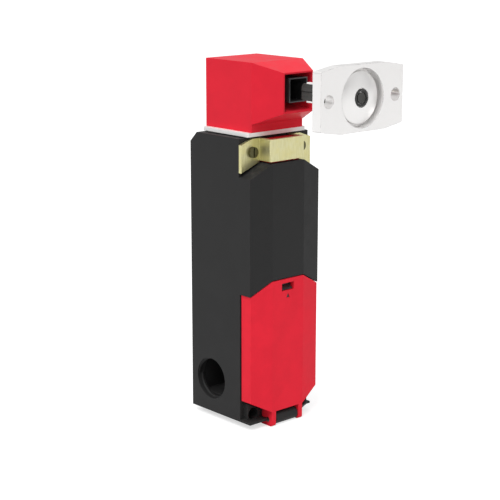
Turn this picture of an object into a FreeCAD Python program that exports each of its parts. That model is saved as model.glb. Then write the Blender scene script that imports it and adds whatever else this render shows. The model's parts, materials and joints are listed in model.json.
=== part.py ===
import FreeCAD, Part
import math
import os

os.makedirs("parts", exist_ok=True)
V = FreeCAD.Vector

# Tongue interlock switch: a narrow guard-door switch and the tongue that the door carries.
# Millimetres.  +Z is up, +Y goes back to the wall that the switch is screwed to, and the tongue
# comes in from the front along +Y.  The origin is midway between the two fixing holes, on the
# mounting face.

SLACK = 0.1              # room round pieces that are pushed together
TIP_ROOM = 0.5           # room under the tip of a screw
DRIVE_W = 0.5            # screw slots
DRIVE_D = 0.5

# ---------------------------------------------------------------- housing
BODY_W = 30.0            # width of the housing
BODY_D = 29.0            # depth of its side faces
BODY_H = 93.3            # height of its flat top
SIDE_WALL = 3.0
BACK_WALL = 2.5
TOP_CHAMFER = 3.2        # 45 degree chamfer along the top back edge
BULGE = 1.7              # the front flat stands this far before the side faces
CREASE = 8.15            # width of each slanted strip beside the front flat
SHOULDER_SIDE = 81.0     # height of the front shoulder at the side faces
SHOULDER_MID = 85.3      # and over the front flat
RECESS_D = 5.3           # depth of the bracket recess above the shoulder
SPLIT_SIDE = 43.1        # height of the joint between housing and lid, at the sides
SPLIT_MID = 47.5
APRON_SIDE = 7.5         # height of the lid's lower edge, at the sides
APRON_MID = 3.1
LID_D = 4.9              # depth that the lid's skirt covers
NOTCH_D = 3.0            # depth of the open corners that show the fixing holes
LAP = 1.65               # step in the sides behind the lid's skirt, seen below it
LIP = 0.7                # thickness of the floor lip before those corners
FLOOR = 5.4              # height of the chamber floor
CEILING = 84.0           # height of the chamber ceiling
LINTEL = 2.4             # thickness of the web above the lid opening
FRONT_WALL = 2.3
FIX_RISE = 2.45          # fixing hole centres above the underside
FIX_SPACING = 22.0
FIX_R = 2.05
CONDUIT_R = 6.93         # minor radius of the cable entry thread
CONDUIT_D = 19.3         # its centre behind the front corner
CONDUIT_H = 11.45        # and above the underside

# ---------------------------------------------------------------- lid and hinge
LID_GAP = 0.35           # joint line round the lid
LID_T = 1.8
SLOT_W = 5.4             # latch window
SLOT_H = 2.6
SLOT_RISE = 43.2
LATCH_T = 1.2
LATCH_TAIL = 1.5         # latch below the window's lower edge
NIB_IN = 0.5             # nib behind the lid's face
MARK = 1.6               # side of the small triangle below the window
HINGE_D = 0.5            # hinge axis behind the front corner
HINGE_H = 0.1            # and above the underside
KNUCKLE_R = 2.1
PIN_R = 0.8
FOOT_W = 9.6             # width of the housing's knuckle
LEG_W = 1.7              # width of each lid leg
LEG_GAP = 0.3
LEG_BACK = 4.1           # back edge of the legs, from the front corner
LEG_ROUND = 0.9          # rounding of their lower corners
SEAL_W = 1.1
SEAL_T = 1.3

# ---------------------------------------------------------------- bracket and retainer
SHEET = 1.2              # zinc plated sheet
BRACKET_TOP = 93.0
BRACKET_LOW = 85.9       # lower edge of the front web
BRACKET_FRONT = -1.2     # front face of the web, from the front corner
BRACKET_W = 14.7         # width over the web
EAR_CUT_RISE = 1.6       # how far the cut corner falls
EAR_CUT_RUN = 4.6
EAR_CLEAR = 1.5          # ear edge above the shoulder
EAR_SCREW_IN = 4.6       # screw centre from the side face
EAR_SCREW_H = 88.8
EAR_SCREW_HEAD_R = 1.75
EAR_SCREW_HEAD_T = 1.0
EAR_SCREW_R = 1.15
EAR_SCREW_L = 7.0
BLOCK_TOP = 92.5         # top of the retainer block
FORK_T = 1.5
FORK_PAST = 3.0          # and past the turning axis
FORK_OVER = 1.0          # the fork reaches this far past the spigot
FORK_H = 89.35           # underside of the retainer's fork

# ---------------------------------------------------------------- head
HEAD_IN = 4.0            # head's side faces inside the body's
HEAD_D = 21.9
HEAD_AXIS_D = 14.7       # turning axis behind the front corner
HEAD_LOW = 94.95         # underside of the head shell
HEAD_TOP = 116.9
HEAD_WALL = 1.8
BASE_T = 1.3             # thickness of the white base plate
BASE_OVER = 1.5          # its overhang at the sides
BASE_ROUND = 0.6
SCREW_IN = 2.6           # head screws from the head's corners
HEAD_SCREW_R = 0.9
HEAD_SCREW_L = 7.0
SCREW_CONE = 0.8         # height and overhang of their countersunk heads
POST_OVER = 1.0          # their posts stand this far above them
CHEEK_T = 2.2            # bearing cheeks of the cam's axle
CHEEK_R = 2.6
NOSE_L = 9.5             # length of the tapered mouth
NOSE_W = 12.6            # width of its front face
NOSE_LOW = 101.4
NOSE_HIGH = 114.1
NOSE_ROOT = 97.5         # height where its lower slope starts
MOUTH_WALL = 0.5
MOUTH_ROOM = 1.0         # room round the guide at the mouth's floor
AXIS_H = 108.5           # height of the tongue's line
SPIGOT_IN = 7.4          # spigot's rim inside the body's side faces
SPIGOT_WALL = 1.4
SPIGOT_L = 7.0
GROOVE_H = 2.1
GROOVE_DEPTH = 0.85
RUNNING = 0.05           # radial clearance of shafts, pins and the spigot
CLEAR = 0.3              # clearance between pieces that move past each other

# ---------------------------------------------------------------- entry guide and cam
GUIDE_W = 7.7
GUIDE_H = 7.6
GUIDE_T = 0.35
GUIDE_FLANGE = 0.6
GUIDE_FLANGE_OVER = 1.0
CAM_H = 100.0            # height of the cam's axle
CAM_TURN = 90.0          # turn of the cam over the tongue's stroke
LOBE_R = 7.4
LOBE_T = 1.8             # width of a lobe round the cam
LOBE_W = 2.6             # thickness of the lobes along the axle
LOBE_STEP = 40.0         # angle between the two lobes
NOTCH_R = 3.6            # root between them
HUB_W = 6.0
HUB_HIGH = 4.3           # hub radius over the plunger with the tongue out
HUB_LOW = 2.1            # and with the tongue home
HUB_END = 250.0          # where its high part drops, from straight up, towards the back
AXLE_R = 1.2
PLUNGER_R = 2.0

# ---------------------------------------------------------------- tongue and plate
TIP = -9.3               # tongue tip, from the front corner, with the door open
PLATE_BACK = -29.8       # back face of the actuator plate
PLATE_T = 3.5
PLATE_W = 35.0
PLATE_H = 20.2
PLATE_SIDE_H = 17.6
PLATE_FLAT = 19.4        # level run of the top and bottom edges
PLATE_HOLE_IN = 3.3      # fixing hole centres from the ends of the plate
PLATE_HOLE_R = 2.0
PLATE_ROUND = 0.5
POCKET_R = 8.95
POCKET_D = 2.8
THROAT_R = 4.4
DOME_R = 7.9
DOME_RIM = 1.5           # depth of the dome's edge under the plate's front face
DOME_CREST = 0.3         # and of its crest
DOME_BACK = 2.0
DOME_BORE = 2.9
DOME_WEB = 0.6
FLEX_H = 0.75
FLEX_WIRE = 0.22
FLEX_TURNS = 2
FLEX_BAND = 0.6
TONGUE_W = 5.6
TONGUE_H = 5.2
PAD_T = 0.5
PAD_START = 3.0          # glide pads start this far behind the tip
BAR = 1.8                # cross bar at the tongue's tip
WINDOW_L = 6.0
WINDOW_W = 3.4
SEAM = 0.35
TIP_BEVEL = 1.6
TONGUE_GAP = 0.2         # from the tongue's shoulder to the plate
STEM_R = 1.3

# ---------------------------------------------------------------- contact block
BLOCK_EDGE = 3.7         # middle of the outer poles to the case's sides
BLOCK_BELOW = 9.0        # foot of the case below the lower terminals
BLOCK_HIGH = 80.0
BLOCK_FRONT = 8.0
LEDGE_FRONT = 6.6        # front of the terminal ledge
LEDGE_DOWN = 15.0        # top of the terminal ledge below the bridges
POLES = 3
POLE_PITCH = 6.8
POCKET_W = 5.6
TERMINAL_PITCH = 8.6
TERMINAL_DOWN = 5.4      # upper row of terminals below the ledge's top
CASE_WALL = 1.4          # front and back of the contact case
CASE_SIDE = 1.1
CASE_FLOOR = 1.0
STRIP_T = 0.8
STRIP_W = 3.4
TAB_W = 4.6
TAB_H = 6.0
ARM_L = 3.4              # rear contact arms
TERM_SCREW_R = 1.25
TERM_SCREW_L = 5.5
TERM_HEAD_R = 2.1
TERM_HEAD_T = 1.5
CLAMP = 4.8
CARRIAGE_T = 4.2
CARRIAGE_DOWN = 10.0     # carriage's foot below the bridges
CARRIAGE_UP = 12.0       # and its top above them
BRIDGE_H = 62.0          # height of the contact bridges with the tongue out
BRIDGE_T = 0.8
BRIDGE_W = 3.0
CLOSED_GAP = 0.25        # left over the closed bridges
SEAT_WALL = 0.6          # carriage beside the spring's seat
SEAT_DEPTH = 6.0
SPRING_WIRE = 0.4
BLOCK_SCREW_R = 1.2
BLOCK_SCREW_X = 7.4
BLOCK_SCREW_DOWN = 6.4   # below the lower terminals
BLOCK_SCREW_END = 0.8    # wall left behind them
SPRING_TURNS = 5


def up(height):
    """Row height of a point that stands this far above the housing's underside."""
    return height - FIX_RISE


def back(depth):
    """Row depth of a point that lies this far behind the housing's front corner."""
    return depth - BODY_D


# ---------------------------------------------------------------- shape helpers
def box(x0, x1, y0, y1, z0, z1):
    return Part.makeBox(x1 - x0, y1 - y0, z1 - z0, V(x0, y0, z0))


def rod(start, end, radius):
    axis = end - start
    return Part.makeCylinder(radius, axis.Length, start, axis)


def ring(start, end, outer, inner):
    return rod(start, end, outer).cut(rod(start, end, inner))


def prism(corners, reach):
    wire = Part.makePolygon(corners + [corners[0]])
    return Part.Face(wire).extrude(reach)


def prism_x(points, x0, x1):
    """Points are (y, z)."""
    return prism([V(x0, y, z) for y, z in points], V(x1 - x0, 0, 0))


def prism_y(points, y0, y1):
    """Points are (x, z)."""
    return prism([V(x, y0, z) for x, z in points], V(0, y1 - y0, 0))


def prism_z(points, z0, z1):
    """Points are (x, y)."""
    return prism([V(x, y, z0) for x, y in points], V(0, 0, z1 - z0))


def round_edges(shape, radius, wanted):
    edges = [e for e in shape.Edges if wanted(e)]
    return shape.makeFillet(radius, edges)


def runs_along(edge, direction):
    ends = edge.Vertexes
    if len(ends) < 2:
        return False
    run = ends[1].Point - ends[0].Point
    return run.Length > 0 and abs(run.dot(direction)) > 0.999 * run.Length


def fuse(first, *others):
    return first.fuse(list(others)).removeSplitter()


def both_sides(shape):
    """The piece and its mirror image in the middle plane of the switch."""
    return [shape, shape.mirror(V(0, 0, 0), V(1, 0, 0))]


nodes = {}


def node(name, *pieces):
    nodes[name] = pieces[0] if len(pieces) == 1 else Part.makeCompound(list(pieces))


# ---------------------------------------------------------------- shared outlines
HALF_W = BODY_W / 2
FRONT = back(-BULGE)


def plan():
    """Housing outline from above, with its creased front."""
    crease = HALF_W - CREASE
    return [(-HALF_W, 0), (-HALF_W, back(0)), (-crease, FRONT), (crease, FRONT),
            (HALF_W, back(0)), (HALF_W, 0)]


def brow(side, middle):
    """Left to right edge that is level over the front flat and falls or rises to the sides."""
    crease = HALF_W - CREASE
    return [(-HALF_W, up(side)), (-crease, up(middle)), (crease, up(middle)), (HALF_W, up(side))]


def brow_height(x, side, middle):
    """Height of such an edge at x."""
    share = min(1.0, (HALF_W - abs(x)) / CREASE)
    return side + (middle - side) * share


FIX_X = FIX_SPACING / 2
SPIGOT_R = HALF_W - SPIGOT_IN
SPIGOT_BORE = SPIGOT_R - SPIGOT_WALL
LEDGE_HIGH = BRIDGE_H - LEDGE_DOWN
TERMINAL_H = LEDGE_HIGH - TERMINAL_DOWN
TERMINAL_LOW = TERMINAL_H - TERMINAL_PITCH
BLOCK_LOW = TERMINAL_LOW - BLOCK_BELOW
BLOCK_SCREW_H = TERMINAL_LOW - BLOCK_SCREW_DOWN
CARRIAGE_LOW = BRIDGE_H - CARRIAGE_DOWN
CARRIAGE_HIGH = BRIDGE_H + CARRIAGE_UP
HEAD_Y = back(HEAD_AXIS_D)
HINGE_Y = back(HINGE_D)
HINGE_Z = up(HINGE_H)
CHAMBER_HALF = HALF_W - SIDE_WALL
CHAMBER_BACK = -BACK_WALL


# ---------------------------------------------------------------- housing
def housing():
    shell = prism_z(plan(), up(0), up(BODY_H))
    side_view = [(FRONT, up(0)), (0, up(0)), (0, up(BODY_H - TOP_CHAMFER)),
                 (-TOP_CHAMFER, up(BODY_H)), (FRONT, up(BODY_H))]
    shell = shell.common(prism_x(side_view, -HALF_W, HALF_W))
    recess = brow(SHOULDER_SIDE, SHOULDER_MID) + [(HALF_W, up(BODY_H)), (-HALF_W, up(BODY_H))]
    shell = shell.cut(prism_y(recess, FRONT, back(RECESS_D)))
    # the lid's place, down to the floor lip
    lid_place = brow(SPLIT_SIDE, SPLIT_MID) + [(HALF_W, up(LIP)), (-HALF_W, up(LIP))]
    shell = shell.cut(prism_y(lid_place, FRONT, back(NOTCH_D)))
    skirt_place = (brow(SPLIT_SIDE, SPLIT_MID)
                   + list(reversed(brow(APRON_SIDE - LID_GAP, APRON_MID - LID_GAP))))
    shell = shell.cut(prism_y(skirt_place, FRONT, back(LID_D)))
    # the lip stands only before the fixing holes
    lip_in = FOOT_W / 2 + LEG_GAP + LEG_W + LEG_GAP
    shell = shell.cut(box(-lip_in, lip_in, FRONT, back(LID_D), up(0), up(APRON_MID)))
    shell = shell.cut(box(-HALF_W, HALF_W, FRONT, back(0), up(0), up(LIP)))
    corner = [(lip_in, back(0)), (HALF_W, back(0)), (HALF_W, back(NOTCH_D)),
              (HALF_W - LAP, back(NOTCH_D))]
    shell = shell.cut(prism_z(corner, up(0), up(LIP)))
    for step in both_sides(box(HALF_W - LAP, HALF_W, back(0), back(LID_D), up(LIP),
                               up(APRON_SIDE))):
        shell = shell.cut(step)
    # wiring and contact chamber
    web_back = back(LEDGE_FRONT - CLEAR)
    shell = shell.cut(box(-CHAMBER_HALF, CHAMBER_HALF, back(NOTCH_D), CHAMBER_BACK,
                          up(FLOOR), up(SPLIT_SIDE)))
    shell = shell.cut(box(-CHAMBER_HALF, CHAMBER_HALF, web_back, CHAMBER_BACK,
                          up(FLOOR), up(CEILING)))
    shell = shell.cut(box(-CHAMBER_HALF, CHAMBER_HALF, back(FRONT_WALL), web_back,
                          up(SPLIT_MID + LINTEL), up(CEILING)))
    # spigot bore, plunger hole and the slot for the retainer's fork
    web = up(HEAD_LOW - BASE_T - SPIGOT_L - CLEAR)
    shell = shell.cut(rod(V(0, HEAD_Y, web), V(0, HEAD_Y, up(BODY_H)), SPIGOT_R + RUNNING))
    shell = shell.cut(rod(V(0, HEAD_Y, up(CEILING)), V(0, HEAD_Y, web), PLUNGER_R + RUNNING))
    shell = shell.cut(box(-FORK_HALF - SLACK, FORK_HALF + SLACK, back(RECESS_D),
                          FORK_BACK + SLACK, up(FORK_H - SLACK), up(FORK_H + FORK_T + SLACK)))
    # bracket screws, fixing holes and cable entry
    for x in (-EAR_SCREW_X, EAR_SCREW_X):
        shell = shell.cut(rod(V(x, back(RECESS_D), up(EAR_SCREW_H)),
                              V(x, back(RECESS_D) + EAR_SCREW_L, up(EAR_SCREW_H)), EAR_SCREW_R))
    for x in (-FIX_X, FIX_X):
        shell = shell.cut(rod(V(x, back(NOTCH_D), 0), V(x, 0, 0), FIX_R))
    for x in (-BLOCK_SCREW_X, BLOCK_SCREW_X):
        shell = shell.cut(rod(V(x, CHAMBER_BACK, up(BLOCK_SCREW_H)),
                              V(x, -BLOCK_SCREW_END, up(BLOCK_SCREW_H)), BLOCK_SCREW_R))
    shell = shell.cut(rod(V(-HALF_W, back(CONDUIT_D), up(CONDUIT_H)),
                          V(-CHAMBER_HALF, back(CONDUIT_D), up(CONDUIT_H)), CONDUIT_R))
    # hinge knuckle, with a web back to the floor
    foot = rod(V(-FOOT_W / 2, HINGE_Y, HINGE_Z), V(FOOT_W / 2, HINGE_Y, HINGE_Z), KNUCKLE_R)
    heel = [(HINGE_Y, HINGE_Z - KNUCKLE_R), (back(LID_D), HINGE_Z - KNUCKLE_R),
            (back(LID_D) + KNUCKLE_R, up(0)), (back(LID_D) + KNUCKLE_R, up(LIP)),
            (HINGE_Y, up(LIP))]
    foot = foot.fuse(prism_x(heel, -FOOT_W / 2, FOOT_W / 2))
    foot = foot.cut(rod(V(-FOOT_W / 2, HINGE_Y, HINGE_Z), V(FOOT_W / 2, HINGE_Y, HINGE_Z), PIN_R))
    return fuse(shell, foot)


# ---------------------------------------------------------------- lid
def lid():
    half = HALF_W - LID_GAP
    outer = [(-half, back(LID_D) - LID_GAP), (-half, back(0)), (-(HALF_W - CREASE), FRONT),
             (HALF_W - CREASE, FRONT), (half, back(0)), (half, back(LID_D) - LID_GAP)]
    inner_half = half - LID_T
    inner = [(-inner_half, back(LID_D)), (-inner_half, back(LID_T)),
             (-(HALF_W - CREASE), FRONT + LID_T), (HALF_W - CREASE, FRONT + LID_T),
             (inner_half, back(LID_T)), (inner_half, back(LID_D))]
    face = (brow(SPLIT_SIDE - LID_GAP, SPLIT_MID - LID_GAP)
            + list(reversed(brow(APRON_SIDE, APRON_MID))))
    hollow = (brow(SPLIT_SIDE - LID_GAP - LID_T, SPLIT_MID - LID_GAP - LID_T)
              + list(reversed(brow(APRON_SIDE + LID_T, APRON_MID + LID_T))))
    cover = prism_z(outer, up(0), up(BODY_H)).common(prism_y(face, FRONT, back(LID_D)))
    space = prism_z(inner, up(0), up(BODY_H)).common(prism_y(hollow, FRONT, back(LID_D)))
    cover = cover.cut(space)
    # latch window and the mark under it
    cover = cover.cut(box(-SLOT_W / 2, SLOT_W / 2, FRONT, FRONT + 2 * LID_T,
                          up(SLOT_RISE), up(SLOT_RISE + SLOT_H)))
    tip = SLOT_RISE - MARK / 2
    mark = [(-MARK / 2, up(tip - MARK)), (MARK / 2, up(tip - MARK)), (0, up(tip))]
    cover = cover.cut(prism_y(mark, FRONT, FRONT + LID_T / 6))
    # two knuckles
    x0 = FOOT_W / 2 + LEG_GAP
    leg = box(x0, x0 + LEG_W, FRONT, back(LEG_BACK), HINGE_Z - KNUCKLE_R,
              up(APRON_MID + LID_T / 2))
    leg = round_edges(leg, LEG_ROUND, lambda e: runs_along(e, V(1, 0, 0))
                      and e.CenterOfMass.z < HINGE_Z)
    leg = leg.cut(rod(V(x0, HINGE_Y, HINGE_Z), V(x0 + LEG_W, HINGE_Y, HINGE_Z),
                      PIN_R + RUNNING))
    return fuse(cover, *both_sides(leg))


def lid_seal():
    """Gasket inside the lid's skirt, pressed on the rim of the housing."""
    half = HALF_W - LID_GAP - LID_T
    top = SPLIT_SIDE - LID_GAP - LID_T
    low = APRON_SIDE + LID_T
    y1 = back(LID_D) - LID_GAP
    outer = box(-half, half, y1 - SEAL_T, y1, up(low), up(top))
    hole = box(-half + SEAL_W, half - SEAL_W, y1 - SEAL_T, y1, up(low + SEAL_W),
               up(top - SEAL_W))
    return outer.cut(hole)


def lid_latch():
    """Spring tongue that hangs from the web over the lid opening; its nib fills the window."""
    y0 = FRONT + LID_T + CLEAR
    y1 = y0 + LATCH_T
    width = SLOT_W - 2 * CLEAR
    under_skirt = SPLIT_MID - LID_GAP - LID_T - CLEAR
    leaf = box(-width / 2, width / 2, y0, y1, up(SLOT_RISE - LATCH_TAIL), up(under_skirt))
    root = box(-width / 2, width / 2, y0, back(LID_D), up(under_skirt - LATCH_T),
               up(under_skirt))
    nib = [(y0, up(SLOT_RISE + CLEAR)), (FRONT + NIB_IN, up(SLOT_RISE + CLEAR)),
           (y0, up(SLOT_RISE + SLOT_H * 0.6))]
    return fuse(leaf, root, prism_x(nib, -width / 2, width / 2))


def lid_hinge_pin():
    half = FOOT_W / 2 + LEG_GAP + LEG_W
    return rod(V(-half, HINGE_Y, HINGE_Z), V(half, HINGE_Y, HINGE_Z), PIN_R)


# ---------------------------------------------------------------- bracket and retainer
EAR_SCREW_X = HALF_W - EAR_SCREW_IN
FORK_HALF = SPIGOT_R + FORK_OVER
FORK_BACK = HEAD_Y + FORK_PAST
FORK_GAP = SPIGOT_R - GROOVE_DEPTH + CLEAR


def hat_outline():
    """Bracket from above: two ears in the recess, two sides and the front web."""
    ear_back = back(RECESS_D)
    ear_front = ear_back - SHEET
    web_front = back(BRACKET_FRONT)
    web_back = web_front + SHEET
    half = BRACKET_W / 2
    right = [(half - SHEET, web_back), (half - SHEET, ear_back), (HALF_W, ear_back),
             (HALF_W, ear_front), (half, ear_front), (half, web_front)]
    left = [(-x, y) for x, y in reversed(right)]
    return right + left


def bracket():
    strip = prism_z(hat_outline(), up(SHOULDER_SIDE), up(BRACKET_TOP))
    corner = HALF_W - EAR_CUT_RUN
    half = BRACKET_W / 2
    step = brow_height(half, SHOULDER_SIDE, SHOULDER_MID) + CLEAR
    view = [(-HALF_W, up(SHOULDER_SIDE + EAR_CLEAR)), (-half, up(step)), (-half, up(BRACKET_LOW)),
            (half, up(BRACKET_LOW)), (half, up(step)), (HALF_W, up(SHOULDER_SIDE + EAR_CLEAR)),
            (HALF_W, up(BRACKET_TOP - EAR_CUT_RISE)), (corner, up(BRACKET_TOP)),
            (-corner, up(BRACKET_TOP)), (-HALF_W, up(BRACKET_TOP - EAR_CUT_RISE))]
    strip = strip.common(prism_y(view, FRONT, back(RECESS_D)))
    bends = [V(s * half, back(BRACKET_FRONT), 0) for s in (-1, 1)]

    def outer_bend(edge):
        middle = edge.CenterOfMass
        return runs_along(edge, V(0, 0, 1)) and any(
            math.hypot(middle.x - b.x, middle.y - b.y) < 0.01 for b in bends)

    strip = round_edges(strip, SHEET / 2, outer_bend)
    for x in (-EAR_SCREW_X, EAR_SCREW_X):
        strip = strip.cut(rod(V(x, back(RECESS_D) - SHEET, up(EAR_SCREW_H)),
                              V(x, back(RECESS_D), up(EAR_SCREW_H)), EAR_SCREW_R + SLACK))
    return strip


def ear_screws():
    face = back(RECESS_D) - SHEET
    screws = []
    for x in (-EAR_SCREW_X, EAR_SCREW_X):
        z = up(EAR_SCREW_H)
        top = face - EAR_SCREW_HEAD_T
        head = rod(V(x, top, z), V(x, face, z), EAR_SCREW_HEAD_R)
        slot = box(x - DRIVE_W / 2, x + DRIVE_W / 2, top, top + DRIVE_D, z - EAR_SCREW_HEAD_R,
                   z + EAR_SCREW_HEAD_R)
        shank = rod(V(x, face, z), V(x, back(RECESS_D) + EAR_SCREW_L - TIP_ROOM, z), EAR_SCREW_R)
        screws.append(fuse(head.cut(slot), shank))
    return screws


def retainer():
    """Block behind the bracket's web, with a fork that holds the head's spigot."""
    half = BRACKET_W / 2 - SHEET - SLACK
    front = back(BRACKET_FRONT) + SHEET
    block = box(-half, half, front, back(RECESS_D), up(SHOULDER_MID + SLACK),
                up(BLOCK_TOP))
    fork = box(-FORK_HALF, FORK_HALF, back(RECESS_D), FORK_BACK, up(FORK_H), up(FORK_H + FORK_T))
    fork = fork.cut(rod(V(0, HEAD_Y, up(FORK_H)), V(0, HEAD_Y, up(FORK_H + FORK_T)), FORK_GAP))
    fork = fork.cut(box(-FORK_GAP, FORK_GAP, HEAD_Y, FORK_BACK, up(FORK_H),
                        up(FORK_H + FORK_T)))
    return fuse(block, fork)


# ---------------------------------------------------------------- head
HEAD_FRONT = HEAD_Y - HEAD_D / 2
HEAD_BACK = HEAD_Y + HEAD_D / 2
NOSE_FRONT = HEAD_FRONT - NOSE_L
HEAD_HALF = HALF_W - HEAD_IN
AXLE_HALF = HEAD_HALF - HEAD_WALL


def head_screw_places():
    reach_x = HEAD_HALF - SCREW_IN
    reach_y = HEAD_D / 2 - SCREW_IN
    return [V(sx * reach_x, HEAD_Y + sy * reach_y, up(HEAD_LOW))
            for sx in (-1, 1) for sy in (-1, 1)]


def rectangle_at(y, half_w, low, high):
    corners = [V(-half_w, y, up(low)), V(half_w, y, up(low)), V(half_w, y, up(high)),
               V(-half_w, y, up(high))]
    return Part.makePolygon(corners + [corners[0]])


def head_shell():
    block = box(-HEAD_HALF, HEAD_HALF, HEAD_FRONT, HEAD_BACK, up(HEAD_LOW), up(HEAD_TOP))
    nose = Part.makeLoft([rectangle_at(HEAD_FRONT, HEAD_HALF, NOSE_ROOT, HEAD_TOP),
                          rectangle_at(NOSE_FRONT, NOSE_W / 2, NOSE_LOW, NOSE_HIGH)], True, True)
    shell = fuse(block, nose)
    # mouth round the guide, tapering inwards
    mouth_half = NOSE_W / 2 - MOUTH_WALL
    mouth = Part.makeLoft([
        rectangle_at(NOSE_FRONT, mouth_half, NOSE_LOW + MOUTH_WALL, NOSE_HIGH - MOUTH_WALL),
        rectangle_at(HEAD_FRONT - HEAD_WALL, GUIDE_W / 2 + MOUTH_ROOM,
                     AXIS_H - GUIDE_H / 2 - MOUTH_ROOM,
                     AXIS_H + GUIDE_H / 2 + MOUTH_ROOM)], True, True)
    shell = shell.cut(mouth)
    shell = shell.cut(box(-GUIDE_W / 2, GUIDE_W / 2, NOSE_FRONT, HEAD_FRONT + HEAD_WALL,
                          up(AXIS_H - GUIDE_H / 2), up(AXIS_H + GUIDE_H / 2)))
    cavity = box(-HEAD_HALF + HEAD_WALL, HEAD_HALF - HEAD_WALL, HEAD_FRONT + HEAD_WALL,
                 HEAD_BACK - HEAD_WALL, up(HEAD_LOW), up(HEAD_TOP - HEAD_WALL))
    shell = shell.cut(cavity)
    posts = []
    for place in head_screw_places():
        top = place + V(0, 0, HEAD_SCREW_L + POST_OVER)
        posts.append(rod(place, top, SCREW_IN - CLEAR))
    shell = fuse(shell, *posts)
    for place in head_screw_places():
        shell = shell.cut(rod(place, place + V(0, 0, HEAD_SCREW_L), HEAD_SCREW_R))
    # bearing cheeks for the cam's axle
    cheeks = both_sides(box(AXLE_HALF - CHEEK_T, AXLE_HALF, HEAD_Y - CHEEK_R,
                            HEAD_Y + CHEEK_R, up(HEAD_LOW), up(CAM_H + CHEEK_R)))
    shell = fuse(shell, *cheeks)
    shell = shell.cut(rod(V(-AXLE_HALF, HEAD_Y, up(CAM_H)), V(AXLE_HALF, HEAD_Y, up(CAM_H)),
                          AXLE_R))
    return shell


def head_base():
    """White plate under the head shell, with the spigot that turns in the housing."""
    half = HEAD_HALF + BASE_OVER
    z0 = up(HEAD_LOW - BASE_T)
    plate = box(-half, half, HEAD_FRONT, HEAD_BACK, z0, up(HEAD_LOW))
    plate = round_edges(plate, BASE_ROUND, lambda e: runs_along(e, V(0, 0, 1)))
    low = V(0, HEAD_Y, z0 - SPIGOT_L)
    plate = plate.fuse(rod(low, V(0, HEAD_Y, z0), SPIGOT_R))
    plate = plate.cut(rod(low, V(0, HEAD_Y, up(HEAD_LOW)), SPIGOT_BORE))
    groove_low = V(0, HEAD_Y, up(FORK_H - CLEAR))
    groove_high = groove_low + V(0, 0, GROOVE_H)
    plate = plate.cut(ring(groove_low, groove_high, 2 * SPIGOT_R, SPIGOT_R - GROOVE_DEPTH))
    for place in head_screw_places():
        plate = plate.cut(rod(place - V(0, 0, BASE_T), place, HEAD_SCREW_R))
        plate = plate.cut(Part.makeCone(HEAD_SCREW_R + SCREW_CONE, HEAD_SCREW_R, SCREW_CONE,
                                        place - V(0, 0, BASE_T), V(0, 0, 1)))
    return plate.removeSplitter()


def head_screws():
    screws = []
    for place in head_screw_places():
        under = place - V(0, 0, BASE_T)
        cone = Part.makeCone(HEAD_SCREW_R + SCREW_CONE, HEAD_SCREW_R, SCREW_CONE, under,
                             V(0, 0, 1))
        shank = rod(under, place + V(0, 0, HEAD_SCREW_L - TIP_ROOM), HEAD_SCREW_R)
        screws.append(fuse(cone, shank))
    return screws


def entry_guide():
    """Thin tube that lines the mouth, with a flange inside the front wall."""
    y0 = NOSE_FRONT
    inside = HEAD_FRONT + HEAD_WALL
    y1 = inside + GUIDE_FLANGE
    tube = box(-GUIDE_W / 2, GUIDE_W / 2, y0, y1, up(AXIS_H - GUIDE_H / 2),
               up(AXIS_H + GUIDE_H / 2))
    flange_half = GUIDE_W / 2 + GUIDE_FLANGE_OVER
    flange_rise = GUIDE_H / 2 + GUIDE_FLANGE_OVER
    flange = box(-flange_half, flange_half, inside, y1, up(AXIS_H - flange_rise),
                 up(AXIS_H + flange_rise))
    hole = box(-GUIDE_W / 2 + GUIDE_T, GUIDE_W / 2 - GUIDE_T, y0, y1,
               up(AXIS_H - GUIDE_H / 2 + GUIDE_T), up(AXIS_H + GUIDE_H / 2 - GUIDE_T))
    return fuse(tube, flange).cut(hole)


# ---------------------------------------------------------------- cam and plunger
def around_cam(angle, radius):
    """Point round the axle; the angle is from straight up towards the back, in degrees."""
    a = math.radians(angle)
    return V(-HUB_W / 2, HEAD_Y + radius * math.sin(a), up(CAM_H) + radius * math.cos(a))


def hub_face():
    """Hub whose radius grows steadily through the quarter turn that lies over the plunger."""
    steps = 12
    points = []
    for i in range(steps + 1):
        share = i / steps
        angle = 180 - CAM_TURN * (1 - share)
        points.append(around_cam(angle, HUB_LOW + (HUB_HIGH - HUB_LOW) * share))
    spiral = Part.BSplineCurve()
    spiral.interpolate(points)
    low_end = 180 - CAM_TURN
    big = Part.Arc(points[-1], around_cam((180 + HUB_END) / 2, HUB_HIGH),
                   around_cam(HUB_END, HUB_HIGH)).toShape()
    drop = Part.LineSegment(around_cam(HUB_END, HUB_HIGH), around_cam(HUB_END, HUB_LOW)).toShape()
    small = Part.Arc(around_cam(HUB_END, HUB_LOW),
                     around_cam((HUB_END + low_end + 360) / 2, HUB_LOW),
                     around_cam(low_end + 360, HUB_LOW)).toShape()
    return Part.Face(Part.Wire([spiral.toShape(), big, drop, small]))


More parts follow.
